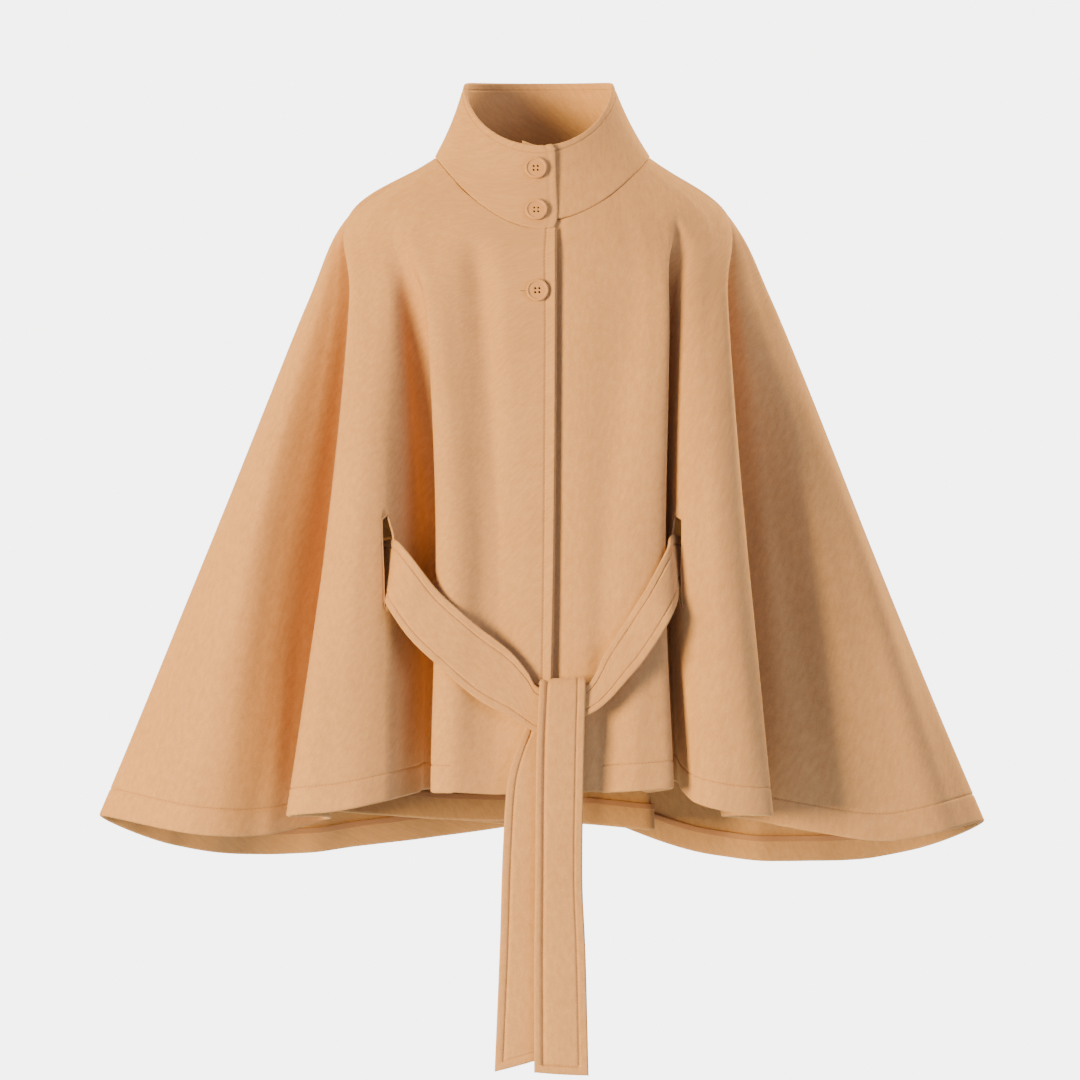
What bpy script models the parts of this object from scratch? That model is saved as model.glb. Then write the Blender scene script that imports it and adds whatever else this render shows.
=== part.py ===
"""A belted poncho in felted wool, filled out as it is worn on a general figure.

The cape is one path of cloth that starts under the front placket, goes round the left
shoulder, the back and the right shoulder, and laps over its own start. Fold lines run down it
from the neck seam to the hem. Each is a row of a table below: where it leaves the neck, where
it passes the shoulder, and where it hangs at the chest, the waist and the hem. A smooth curve
through the fold lines at each height gives the cloth, and the cloth has a real thickness.

Metres, +Z up, the front towards -Y, the wearer's left towards +X. The origin is the middle of
the neck, level with the neck points of the shoulder seams. The tables are in millimetres.
"""
import math
from collections import namedtuple

import bpy
import numpy as np
from mathutils import Vector
from mathutils.bvhtree import BVHTree

MM = 0.001

CAMEL = (0.72, 0.43, 0.23)
SATIN = (0.43, 0.24, 0.16)
HORN = (0.62, 0.36, 0.19)

# Cloth
WALL = 2.2 * MM                  # felted wool, one layer
SEAM_GAP = 0.3 * MM              # between pieces at a seam
COLLAR_WALL = 3.4 * MM           # outer and inner collar together
BELT_WALL = 3.4 * MM             # doubled cloth of the belt
TAPE_WALL = 0.6 * MM             # satin binding
LAP = 2 * (WALL + 2 * SEAM_GAP)  # right front over facing over left front
HEM_DEPTH = 27 * MM              # turned-up hem
HEM_STEP = 1 * MM                # height over which one layer becomes two

# Neck seam: an oval that dips at the front
NECK_HALF_WIDTH = 106.5 * MM
NECK_CENTRE_X = 4 * MM           # the collar stands a little to the wearer's left
NECK_HALF_DEPTH = 85 * MM
NECK_CENTRE_Y = -15 * MM
NECK_FRONT_DROP = 75 * MM
NECK_BACK_RISE = 12 * MM

# Collar top edge: an oval that dips further at the front
COLLAR_HALF_WIDTH = 73 * MM
COLLAR_HALF_DEPTH = 65 * MM
COLLAR_CENTRE_Y = -10 * MM
COLLAR_SIDE_Z = 78 * MM
COLLAR_FRONT_DIP = 68 * MM
COLLAR_DIP_SOFTNESS = 0.14       # 0 would start the dip sharply at the sides
COLLAR_BACK_RISE = 3 * MM
COLLAR_HOLLOW = 2.5 * MM         # how far the band curves in between its edges
COLLAR_FOOT = 1.9 * MM           # lower edge, above the neck seam
COLLAR_ROWS = (0, 0.25, 0.5, 0.75, 1)
COLLAR_SPANS = 48                # of the mesh, round the neck
COLLAR_FOOT_TURNS = (-10, 368)   # degrees: left end and right end of the lower edge
COLLAR_TOP_TURNS = (-14.5, 371.5)

# Shoulder ring of the general figure
SHOULDER_HALF_WIDTH = 190 * MM
SHOULDER_HALF_DEPTH = 112 * MM
SHOULDER_FRONT_Z = -102 * MM
SHOULDER_SIDE_RISE = 44 * MM

# Heights of the middle stations of a fold line
CHEST_Z = -140 * MM
WAIST_Z = -400 * MM

# Hand slits: on the fold line that each front's table calls slit
SLIT_HALF_WIDTH = 2.5 * MM
SLIT_OPENING = 5.5 * MM          # how far each lip stands off at the middle
WELT_WIDTH = 2 * MM
WELT_WALL = 1 * MM

# Pieces that lie on the panels
FACED_COLUMNS = {"left": 10, "right": 12}  # of the mesh, from each front edge
FACING_PEEP = 1.2 * MM           # how far the facing shows past the placket edge
TAPE_SHARE = 0.22                # of the turned-up hem's depth

# Buttons
BUTTON_RADIUS = 11 * MM
BUTTON_THICKNESS = 3.2 * MM
BUTTON_RIM = 1.6 * MM
BUTTON_DISH = 0.8 * MM           # how far the middle lies below the rim
BUTTON_HOLE_RADIUS = 0.95 * MM
BUTTON_HOLE_CIRCLE = 2.8 * MM
BUTTON_SIDES = 20
BUTTON_HOLE_SIDES = 6

STEPS_ACROSS = 3                 # columns of the mesh between fold lines
# Rows of the mesh, in stations down a fold line: 0 neck, 1 shoulder, 2 chest, 3 waist, 4 hem
ROWS_UPPER = (0, 0.33, 0.67, 1, 1.3, 1.65, 2, 2.4)
ROWS_SLIT = (2.835, 2.92, 3, 3.1, 3.19)
ROWS_LOWER = (3.4, 3.65)

FoldLine = namedtuple(
    "FoldLine",
    "neck shoulder chest_x waist_x hem_x chest_y waist_y hem_y hem_z")

# Angles in degrees round the figure: 0 centre front, 90 wearer's left, 180 centre back.
LEFT_FRONT = {
    #                      angles      across             fore and aft         height
    #                    neck should. chest waist hem    chest waist hem      hem
    "under_edge": FoldLine(-10, -6, -19, -19, -19, -122, -152, -168, -627),
    "under_lap": FoldLine(8, 4.5, 15, 15, 15, -122, -152, -168, -626),
    "centre": FoldLine(20, 13, 46, 44, 44, -123, -155, -170, -625),
    "trough": FoldLine(34, 23, 82, 64, 62, -119, -153, -165, -625),
    "panel_ridge": FoldLine(46, 33, 110, 100, 98, -119, -157, -171, -623),
    "panel_edge": FoldLine(54, 40, 127, 123, 130, -114, -146, -160, -621),
    "panel_return": FoldLine(59, 45, 123, 118, 104, -102, -116, -132, -628),
    "valley": FoldLine(63, 49, 132, 126, 132, -92, -102, -108, -617),
    "slit": FoldLine(67, 54, 147, 137, 150, -97, -118, -132, -632),
    "flute_ridge": FoldLine(72, 62, 165, 172, 186, -98, -150, -158, -644),
    "flute_edge": FoldLine(79, 80, 184, 203, 229, -66, -118, -135, -648),
    "flute_return": FoldLine(82.5, 84, 176, 190, 193, -52, -72, -74, -653),
    "wing_valley": FoldLine(85, 86, 201, 237, 272, -38, -50, -57, -668),
    "wing": FoldLine(87.5, 88, 218, 290, 347, -21, -56, -62, -677),
}
LEFT_SIDE = FoldLine(90, 90, 232, 336, 444, 0, 0, 0, -661)
BACK = {
    "left_wing": FoldLine(100, 104, 213, 300, 385, 42, 60, 74, -691),
    "left_flute": FoldLine(122, 128, 174, 236, 276, 90, 126, 150, -708),
    "left_inner": FoldLine(142, 148, 122, 152, 164, 111, 146, 166, -700),
    "left_fold": FoldLine(152, 154, 86, 84, 74, 118, 147, 153, -668),
    "left_fold_in": FoldLine(155, 157, 82, 86, 81, 116, 132, 130, -666),
    "left_return": FoldLine(158, 160, 79, 98, 106, 114, 116, 85, -672),
    "left_edge": FoldLine(161, 163, 75, 100, 111, 112, 106, 72, -673),
    "left_centre": FoldLine(166, 169, 48, 60, 64, 113, 101, 66, -668),
    "centre": FoldLine(180, 180, 0, 0, 0, 114, 104, 70, -665),
    "right_centre": FoldLine(194, 191, -48, -72, -110, 113, 101, 66, -661),
    "right_edge": FoldLine(199, 197, -76, -118, -214, 112, 104, 70, -653),
    "right_return": FoldLine(202, 200, -79, -116, -208, 114, 116, 84, -654),
    "right_fold_in": FoldLine(205, 203, -82, -77, -38, 116, 131, 131, -669),
    "right_fold": FoldLine(208, 206, -86, -74, -30, 118, 147, 154, -672),
    "right_inner": FoldLine(218, 212, -122, -152, -164, 111, 148, 166, -691),
    "right_flute": FoldLine(238, 232, -174, -236, -276, 90, 126, 150, -701),
    "right_wing": FoldLine(260, 256, -213, -300, -376, 42, 60, 72, -686),
}
RIGHT_SIDE = FoldLine(270, 270, -229, -333, -438, 0, 0, 0, -655)
RIGHT_FRONT = {
    "wing": FoldLine(272.5, 272, -218, -290, -338, -21, -56, -62, -670),
    "wing_valley": FoldLine(275, 274, -203, -242, -272, -38, -50, -57, -672),
    "flute_return": FoldLine(277.5, 276, -174, -192, -188, -52, -72, -74, -658),
    "flute_edge": FoldLine(281, 280, -182, -207, -244, -66, -118, -135, -648),
    "flute_ridge": FoldLine(288, 298, -164, -176, -192, -98, -150, -160, -643),
    "slit": FoldLine(293, 306, -148, -150, -146, -100, -134, -140, -634),
    "valley": FoldLine(297, 311, -132, -118, -112, -98, -106, -114, -624),
    "panel_return": FoldLine(301, 315, -122, -98, -96, -104, -116, -128, -621),
    "panel_edge": FoldLine(306, 320, -110, -98, -103, -115, -143, -160, -625),
    "panel_ridge": FoldLine(314, 327, -98, -84, -88, -120, -156, -170, -625),
    "trough": FoldLine(327, 337, -78, -56, -64, -119, -152, -170, -626),
    "centre": FoldLine(340, 347, -44, -38, -42, -123, -155, -170, -627),
    "lap": FoldLine(350, 354, -19, -19, -19, -122, -152, -168, -627),
    "placket_edge": FoldLine(368, 364.5, 15, 13, 8, -122, -152, -168, -627),
}

# The belt: both edges of each stretch, from row to row along it
BeltRow = namedtuple("BeltRow", "upper_x upper_y upper_z lower_x lower_y lower_z")
BELT = {
    "belt_right_arm": (
        BeltRow(-163, -104, -384, -163, -104, -434),
        BeltRow(-149, -133, -381, -151, -133, -436),
        BeltRow(-126, -155, -391, -148, -153, -446),
        BeltRow(-101, -164, -427, -126, -165, -477),
        BeltRow(-81, -167.5, -446, -96, -170, -505),
        BeltRow(-60, -167.5, -464, -62, -172.5, -534),
        BeltRow(-28, -169.5, -489, -29, -174, -552),
        BeltRow(-12, -172.5, -508, -13, -174.5, -562),
        BeltRow(-3, -174.5, -522, -3, -174.5, -567),
        BeltRow(34, -174.5, -526, 32, -174.5, -566)),
    "belt_left_arm": (
        BeltRow(151, -91, -384, 151, -91, -434),
        BeltRow(135, -117, -380, 136.3, -118, -434),
        BeltRow(124, -149, -388, 133, -147, -440),
        BeltRow(103, -163, -427, 127, -170, -457),
        BeltRow(84, -165, -457, 107, -179, -489),
        BeltRow(64, -172, -488, 90, -184, -510),
        BeltRow(44, -180, -522, 54, -184, -546),
        BeltRow(10, -180.5, -527, 10, -180.5, -560)),
    "belt_knot": (
        BeltRow(-1, -169.8, -549, 43, -169.8, -549),
        BeltRow(-1, -169.8, -532, 43, -169.8, -532),
        BeltRow(-1, -170.3, -524, 43, -170.3, -523)),
    "belt_front_tail": (
        BeltRow(-1, -173.5, -519.8, 43, -173.5, -518.8),
        BeltRow(0, -179, -517.5, 44, -179, -515),
        BeltRow(-0.5, -185, -523, 44, -185, -520),
        BeltRow(-1, -187, -532, 44, -187, -530),
        BeltRow(-3, -187, -571, 43, -187, -566),
        BeltRow(-4, -186, -625, 42, -186, -612),
        BeltRow(-4.5, -186, -710, 41, -186, -710),
        BeltRow(-5.5, -185, -780, 44, -185, -780),
        BeltRow(-5.5, -185, -896, 47, -185, -899)),
    "belt_rear_tail": (
        BeltRow(-13, -169.4, -552, 30, -169.4, -552),
        BeltRow(-16, -170.4, -567, 28, -170.4, -567),
        BeltRow(-23, -175, -584, 24, -175, -584),
        BeltRow(-31, -177.5, -612, 18, -177.5, -612),
        BeltRow(-36, -178, -680, 14, -178, -680),
        BeltRow(-39, -178, -775, 11, -178, -775),
        BeltRow(-44, -178, -896, 6, -178, -882)),
    "belt_back": (
        BeltRow(151.5, -90, -384, 151.5, -90, -434),
        BeltRow(162, -60, -383, 162, -60, -433),
        BeltRow(160, -10, -380, 160, -10, -430),
        BeltRow(130, 50, -374, 130, 50, -424),
        BeltRow(70, 82, -370, 70, 82, -420),
        BeltRow(0, 88, -368, 0, 88, -418),
        BeltRow(-70, 82, -370, -70, 82, -420),
        BeltRow(-130, 50, -374, -130, 50, -424),
        BeltRow(-165, -10, -380, -165, -10, -430),
        BeltRow(-172, -62, -383, -172, -62, -433),
        BeltRow(-163.5, -103, -384, -163.5, -103, -434)),
}
BELT_STEPS = 3                   # rows of the mesh between rows of a table
BELT_COLUMNS = 2

Button = namedtuple("Button", "x z on")
BUTTONS = {
    "button_top": Button(-4, -14, "collar"),
    "button_middle": Button(-3.5, -56, "collar"),
    "button_front": Button(-2.5, -136, "front_right"),
}


def clear_scene():
    for item in list(bpy.data.objects):
        bpy.data.objects.remove(item, do_unlink=True)


def cloth_material(name, colour, roughness):
    """A plain Principled finish."""
    material = bpy.data.materials.new(name)
    material.use_nodes = True
    shader = material.node_tree.nodes["Principled BSDF"]
    shader.inputs["Base Color"].default_value = (*colour, 1)
    shader.inputs["Roughness"].default_value = roughness
    shader.inputs["Metallic"].default_value = 0
    return material


def add_solid(name, points, faces, colour, roughness=0.9):
    """A named object with its own material, shaded smooth but for its sharp rims."""
    mesh = bpy.data.meshes.new(name)
    mesh.from_pydata([tuple(p) for p in points], [], faces)
    mesh.materials.append(cloth_material(name, colour, roughness))
    mesh.shade_smooth()
    mesh.set_sharp_from_angle(angle=math.radians(50))
    solid = bpy.data.objects.new(name, mesh)
    bpy.context.scene.collection.objects.link(solid)
    return solid


def unit(vectors):
    return vectors / np.linalg.norm(vectors, axis=-1, keepdims=True)


def smooth_through(points, places):
    """A centripetal Catmull-Rom curve through points, read at places.

    A place is a number of points along: 2.5 lies half way between the third and the fourth.
    """
    points = np.asarray(points, float)
    padded = np.vstack([2 * points[0] - points[1], points, 2 * points[-1] - points[-2]])
    knots = np.concatenate(
        [[0], np.cumsum(np.linalg.norm(np.diff(padded, axis=0), axis=1) ** 0.5)])
    read = []
    for place in places:
        i = min(int(place), len(points) - 2)
        p = padded[i:i + 4]
        k = knots[i:i + 4]
        t = k[1] + (place - i) * (k[2] - k[1])
        a = [p[j] + (p[j + 1] - p[j]) * (t - k[j]) / (k[j + 1] - k[j]) for j in range(3)]
        b = [a[j] + (a[j + 1] - a[j]) * (t - k[j]) / (k[j + 2] - k[j]) for j in range(2)]
        read.append(b[0] + (b[1] - b[0]) * (t - k[1]) / (k[2] - k[1]))
    return np.array(read)


def lap_offset(turn):
    """The path of cloth is a slow spiral: a full turn moves it out by one lap."""
    out = LAP * (turn - 180) / 360
    angle = math.radians(turn)
    return np.array([out * math.sin(angle), -out * math.cos(angle), 0])


def neck_point(turn):
    angle = math.radians(turn)
    dip = NECK_BACK_RISE if math.cos(angle) < 0 else -NECK_FRONT_DROP
    return np.array([
        NECK_CENTRE_X + NECK_HALF_WIDTH * math.sin(angle),
        NECK_CENTRE_Y - NECK_HALF_DEPTH * math.cos(angle),
        dip * math.cos(angle) ** 2])


def collar_top_point(turn):
    angle = math.radians(turn)
    forward = (math.cos(angle) + math.hypot(math.cos(angle), COLLAR_DIP_SOFTNESS)) / 2
    backward = max(0, -math.cos(angle))
    return np.array([
        COLLAR_HALF_WIDTH * math.sin(angle),
        COLLAR_CENTRE_Y - COLLAR_HALF_DEPTH * math.cos(angle),
        COLLAR_SIDE_Z - COLLAR_FRONT_DIP * forward + COLLAR_BACK_RISE * backward])


def shoulder_point(turn):
    angle = math.radians(turn)
    return np.array([
        SHOULDER_HALF_WIDTH * math.sin(angle),
        -SHOULDER_HALF_DEPTH * math.cos(angle),
        SHOULDER_FRONT_Z + SHOULDER_SIDE_RISE * abs(math.sin(angle))])


def stations(line):
    """The five points that a fold line passes: neck, shoulder, chest, waist and hem."""
    hanging = np.array([
        (line.chest_x * MM, line.chest_y * MM, CHEST_Z),
        (line.waist_x * MM, line.waist_y * MM, WAIST_Z),
        (line.hem_x * MM, line.hem_y * MM, line.hem_z * MM)])
    points = np.vstack([neck_point(line.neck), shoulder_point(line.shoulder), hanging])
    return points + lap_offset(line.neck)


def cape_rows(line):
    """Rows of the mesh on a fold line; the last three make the step of the turned-up hem."""
    drop = WAIST_Z - line.hem_z * MM
    hem_top = 4 - HEM_DEPTH / drop
    return ROWS_UPPER + ROWS_SLIT + ROWS_LOWER + (hem_top - HEM_STEP / drop, hem_top, 4)


def cape_grid():
    """The whole path of cloth as rows and columns of points, with its outward directions."""
    lines = [*LEFT_FRONT.values(), LEFT_SIDE, *BACK.values(), RIGHT_SIDE, *RIGHT_FRONT.values()]
    down = np.array([smooth_through(stations(line), cape_rows(line)) for line in lines])
    across = [i / STEPS_ACROSS for i in range((len(lines) - 1) * STEPS_ACROSS + 1)]
    grid = np.array([smooth_through(down[:, row], across) for row in range(down.shape[1])])
    outward = unit(np.cross(np.gradient(grid, axis=0), np.gradient(grid, axis=1)))
    return grid, outward


def trim_edge(grid, column, neighbour, distance):
    """Draws one edge column in towards its neighbour, which leaves the seam's gap."""
    step = unit(grid[:, neighbour] - grid[:, column])
    grid[:, column] += step * distance


def wall_faces(keep):
    """Faces of a wall over the kept cells: outer side, inner side, and a rim on every edge."""
    rows, columns = keep.shape
    width = columns + 1
    inner = (rows + 1) * width
    faces = []
    for r, c in zip(*np.nonzero(keep)):
        a, b = r * width + c, r * width + c + 1
        d, e = a + width, b + width
        faces.append((a, d, e, b))
        faces.append((a + inner, b + inner, e + inner, d + inner))
        sides = (((r - 1, c), a, b), ((r, c + 1), b, e), ((r + 1, c), e, d), ((r, c - 1), d, a))
        for (row, column), first, second in sides:
            inside = 0 <= row < rows and 0 <= column < columns
            if not (inside and keep[row, column]):
                faces.append((first, second, second + inner, first + inner))
    return faces


def add_wall(name, middle, outward, colour, outer=WALL / 2, inner=WALL / 2, keep=None):
    """A cloth wall on a grid of points; inner may be a number or one for each point."""
    rows, columns = middle.shape[:2]
    if keep is None:
        keep = np.ones((rows - 1, columns - 1), bool)
    inner = np.broadcast_to(inner, (rows, columns))[..., None]
    points = np.vstack([
        (middle + outward * outer).reshape(-1, 3),
        (middle - outward * inner).reshape(-1, 3)])
    faces = wall_faces(keep)
    used = sorted({index for face in faces for index in face})
    place = {index: i for i, index in enumerate(used)}
    return add_solid(
        name, points[used], [tuple(place[i] for i in face) for face in faces], colour)


def hem_thickness(panel, plain):
    """Inner thickness: one layer, and two in the turned-up hem but for the plain columns."""
    inner = np.full(panel.shape[:2], WALL / 2)
    inner[-2:, [c for c in range(panel.shape[1]) if c not in plain]] += WALL
    return inner


def open_slit(grid, outward, column):
    """Splits the slit's column in two and spreads the lips; gives the cells left out too."""
    run = unit(grid[:, column + 1] - grid[:, column - 1])
    first = len(ROWS_UPPER)
    last = first + len(ROWS_SLIT) - 1
    spread = np.full(len(grid), SLIT_HALF_WIDTH)
    for i in range(first, last + 1):
        spread[i] += SLIT_OPENING * math.sin(math.pi * (i - first) / (last - first)) ** 0.6
    left = grid[:, column] - run * spread[:, None]
    right = grid[:, column] + run * spread[:, None]
    grid = np.concatenate(
        [grid[:, :column], left[:, None], right[:, None], grid[:, column + 1:]], axis=1)
    outward = np.concatenate([outward[:, :column + 1], outward[:, column:]], axis=1)
    keep = np.ones((grid.shape[0] - 1, grid.shape[1] - 1), bool)
    keep[first:last, column] = False
    return grid, outward, keep


def hem_tape(name, panel, normal, columns):
    """Satin binding over the raw edge of a turned-up hem, inside the panel."""
    top, hem = panel[-2, columns], panel[-1, columns]
    out = normal[-2, columns]
    rows = np.array([top, top + (hem - top) * TAPE_SHARE])
    deep = WALL * 1.5 + 2 * SEAM_GAP + TAPE_WALL / 2
    outward = np.array([out, out])
    add_wall(name, rows - outward * deep, outward, SATIN, TAPE_WALL / 2, TAPE_WALL / 2)


def slit_welt(name, panel, normal, column):
    """The bound lips of a hand slit: a flat ring on the outside, round the opening."""
    rows = slice(len(ROWS_UPPER), len(ROWS_UPPER) + len(ROWS_SLIT))
    front, rear = panel[rows, column], panel[rows, column + 1]
    loop = np.vstack([front, rear[::-1]])
    out = np.vstack([normal[rows, column], normal[rows, column + 1][::-1]])
    away = unit(loop - loop.mean(axis=0))
    across = unit(front[2] - rear[2])
    count = len(front)
    away[1:count - 1] = across
    away[count + 1:-1] = -across
    away = unit(away - out * np.sum(away * out, axis=1, keepdims=True))
    low = WALL / 2 + SEAM_GAP
    high = low + WELT_WALL
    corners = ((0, high), (WELT_WIDTH, high), (WELT_WIDTH, low), (0, low))
    rings = [loop + away * reach + out * height for reach, height in corners]
    points = np.stack(rings, axis=1).reshape(-1, 3)
    total = len(loop)
    faces = []
    for i in range(total):
        for k in range(4):
            a, b = i * 4 + k, i * 4 + (k + 1) % 4
            c, d = (i + 1) % total * 4 + (k + 1) % 4, (i + 1) % total * 4 + k
            faces.append((a, b, c, d))
    add_solid(name, points, faces, CAMEL)


def build_cape():
    """Left front, back and right front, cut from one path of cloth at the side seams."""
    grid, outward = cape_grid()
    left_end = len(LEFT_FRONT) * STEPS_ACROSS
    right_end = left_end + (len(BACK) + 1) * STEPS_ACROSS
    left_slit = list(LEFT_FRONT).index("slit") * STEPS_ACROSS
    right_slit = (list(RIGHT_FRONT).index("slit") + 1) * STEPS_ACROSS
    last = grid.shape[1] - 1
    cuts = (("left", 0, left_end, left_slit), ("back", left_end, right_end, None),
            ("right", right_end, last, right_slit))
    for side, first, end, slit in cuts:
        name = side if side == "back" else "front_" + side
        panel = grid[:, first:end + 1].copy()
        normal = outward[:, first:end + 1]
        trim_edge(panel, 0, 1, SEAM_GAP / 2)
        trim_edge(panel, -1, -2, SEAM_GAP / 2)
        keep = None
        if slit:
            panel, normal, keep = open_slit(panel, normal, slit)
            slit_welt("slit_welt_" + side, panel, normal, slit)
        count = panel.shape[1]
        plain = {
            "left": range(FACED_COLUMNS["left"]),
            "right": range(count - FACED_COLUMNS["right"], count)}.get(side, ())
        inner = hem_thickness(panel, plain)
        add_wall(name, panel, normal, CAMEL, inner=inner, keep=keep)
        bound = [c for c in range(1, count - 1) if c not in plain]
        hem_tape("hem_tape_" + side, panel, normal, bound)
        if side == "right":
            build_facing(panel[:, plain], normal[:, plain])


def build_facing(panel, normal):
    """The second layer of the placket: the right front's points, moved in."""
    middle = panel - normal * (WALL + SEAM_GAP)
    middle[:, -1] += unit(middle[:, -1] - middle[:, -2]) * FACING_PEEP
    add_wall("placket_facing", middle, normal, CAMEL)


def build_collar():
    """A funnel band round the neck; its right end laps over its left end."""
    foot_start, foot_end = COLLAR_FOOT_TURNS
    top_start, top_end = COLLAR_TOP_TURNS
    columns = []
    for i in range(COLLAR_SPANS + 1):
        share = i / COLLAR_SPANS
        turn = foot_start + (foot_end - foot_start) * share
        low = neck_point(turn)
        high = collar_top_point(top_start + (top_end - top_start) * share)
        low = low + unit(high - low) * COLLAR_FOOT
        angle = math.radians(turn)
        out = np.array([math.sin(angle), -math.cos(angle), 0])
        column = []
        for f in COLLAR_ROWS:
            hollow = out * COLLAR_HOLLOW * math.sin(math.pi * f)
            column.append(high + (low - high) * f - hollow + lap_offset(turn))
        columns.append(column)
    grid = np.array(columns).transpose(1, 0, 2)
    outward = unit(np.cross(np.gradient(grid, axis=0), np.gradient(grid, axis=1)))
    add_wall("collar", grid, outward, CAMEL, COLLAR_WALL / 2, COLLAR_WALL / 2)


def build_belt():
    """Each stretch of the belt as a doubled strip between its two edges."""
    for name, table in BELT.items():
        places = [i / BELT_STEPS for i in range((len(table) - 1) * BELT_STEPS + 1)]
        edges = smooth_through(np.array(table, float) * MM, places)
        upper, lower = edges[:, :3], edges[:, 3:]
        shares = np.linspace(0, 1, BELT_COLUMNS + 1)[None, :, None]
        grid = upper[:, None] + (lower - upper)[:, None] * shares
        outward = unit(np.cross(np.gradient(grid, axis=0), np.gradient(grid, axis=1)))
        add_wall(name, grid, outward, CAMEL, BELT_WALL / 2, BELT_WALL / 2)


def button_solid(name, place, facing):
    """A turned disc with a raised rim and four holes, lying square on its cloth."""
    top = BUTTON_THICKNESS
    rings = (
        (BUTTON_RADIUS - 2 * BUTTON_RIM, top - BUTTON_DISH),
        (BUTTON_RADIUS - BUTTON_RIM, top),
        (BUTTON_RADIUS - BUTTON_RIM / 2, top),
        (BUTTON_RADIUS, top - BUTTON_RIM / 2),
        (BUTTON_RADIUS, BUTTON_RIM / 2),
        (BUTTON_RADIUS - BUTTON_RIM / 2, 0))
    points = []
    for radius, height in rings:
        for i in range(BUTTON_SIDES):
            angle = 2 * math.pi * i / BUTTON_SIDES
            points.append((radius * math.cos(angle), radius * math.sin(angle), height))
    faces = [tuple(range(BUTTON_SIDES))]
    for ring in range(len(rings) - 1):
        for i in range(BUTTON_SIDES):
            a, b = ring * BUTTON_SIDES + i, ring * BUTTON_SIDES + (i + 1) % BUTTON_SIDES
            faces.append((b, a, a + BUTTON_SIDES, b + BUTTON_SIDES))
    faces.append(tuple(reversed(range((len(rings) - 1) * BUTTON_SIDES, len(points)))))
    button = add_solid(name, points, faces, HORN, 0.5)
    button.location = place
    button.rotation_mode = "QUATERNION"
    button.rotation_quaternion = facing.to_track_quat("Z", "Y")
    for i in range(4):
        angle = math.pi / 4 + math.pi / 2 * i
        drill_hole(button, BUTTON_HOLE_CIRCLE * math.cos(angle),
                   BUTTON_HOLE_CIRCLE * math.sin(angle))


def drill_hole(button, x, y):
    sides = BUTTON_HOLE_SIDES
    reach = 2 * BUTTON_THICKNESS
    points = []
    for height in (-reach, reach):
        for i in range(sides):
            angle = 2 * math.pi * i / sides
            points.append((x + BUTTON_HOLE_RADIUS * math.cos(angle),
                           y + BUTTON_HOLE_RADIUS * math.sin(angle), height))
    faces = [tuple(reversed(range(sides))), tuple(range(sides, 2 * sides))]
    faces += [(i, (i + 1) % sides, (i + 1) % sides + sides, i + sides) for i in range(sides)]
    drill = add_solid("drill", points, faces, HORN)
    drill.parent = button
    drill.hide_render = True
    drill.display_type = "WIRE"
    cut = button.modifiers.new("hole", "BOOLEAN")
    cut.operation = "DIFFERENCE"
    cut.solver = "EXACT"
    cut.object = drill


def build_buttons():
    """Each button lies on its piece, where a line from the front first meets the cloth."""
    depsgraph = bpy.context.evaluated_depsgraph_get()
    for name, button in BUTTONS.items():
        cloth = bpy.data.objects[button.on]
        tree = BVHTree.FromObject(cloth, depsgraph)
        start = Vector((button.x * MM, -1, button.z * MM))
        place, normal, _, _ = tree.ray_cast(start, Vector((0, 1, 0)))
        button_solid(name, place + normal * 2 * SEAM_GAP, normal)


clear_scene()
build_cape()
build_collar()
build_belt()
build_buttons()
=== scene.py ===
"""A belted camel wool poncho with a buttoned funnel collar, filled out as it is worn."""

import math
from collections import namedtuple

import bpy
import numpy as np
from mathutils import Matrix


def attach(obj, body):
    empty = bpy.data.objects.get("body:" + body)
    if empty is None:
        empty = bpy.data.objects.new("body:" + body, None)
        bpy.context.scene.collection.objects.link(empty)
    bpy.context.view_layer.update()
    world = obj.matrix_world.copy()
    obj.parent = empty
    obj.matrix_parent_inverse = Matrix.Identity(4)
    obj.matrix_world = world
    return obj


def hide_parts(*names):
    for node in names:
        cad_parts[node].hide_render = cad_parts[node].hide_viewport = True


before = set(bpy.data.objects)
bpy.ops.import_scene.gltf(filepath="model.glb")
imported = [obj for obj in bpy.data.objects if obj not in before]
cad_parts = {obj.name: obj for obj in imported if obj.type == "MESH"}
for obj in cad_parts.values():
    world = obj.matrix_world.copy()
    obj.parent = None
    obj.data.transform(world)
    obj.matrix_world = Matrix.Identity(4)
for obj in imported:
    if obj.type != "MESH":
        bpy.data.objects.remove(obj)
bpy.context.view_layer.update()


# The studio. The camera stands level with the middle of the cape, six metres in front. The cape
# hangs over a round pale floor that fades into the backdrop, in soft light from in front.
MM = 0.001
VIEW_DISTANCE = 6.0
VIEW_HEIGHT = -0.38
VIEW_WIDTH = 1.08                # seen at the origin's depth
SENSOR = 36
BACKDROP = (1, 1, 0.99, 1)
BACKDROP_GLOW = 5.5              # as the camera sees it
WARM = (1, 0.63, 0.19)
COOL = (0.9, 0.95, 1)
SOFT = (1, 0.88, 0.72)
AMBIENT = 0.34                   # light from all round, next to the lamps
FLOOR_Z = -1.12
FLOOR_RADIUS = 1.15
FLOOR_FADE = {"From Min": FLOOR_RADIUS * 0.55, "From Max": FLOOR_RADIUS * 0.98}
FLOOR_TINT = (0.5, 0.65, 0.95, 1)  # cool, against the warm lamps
FLOOR_GLOW = (0.75, 0.6)         # share of glow in what is seen, and its strength

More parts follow.
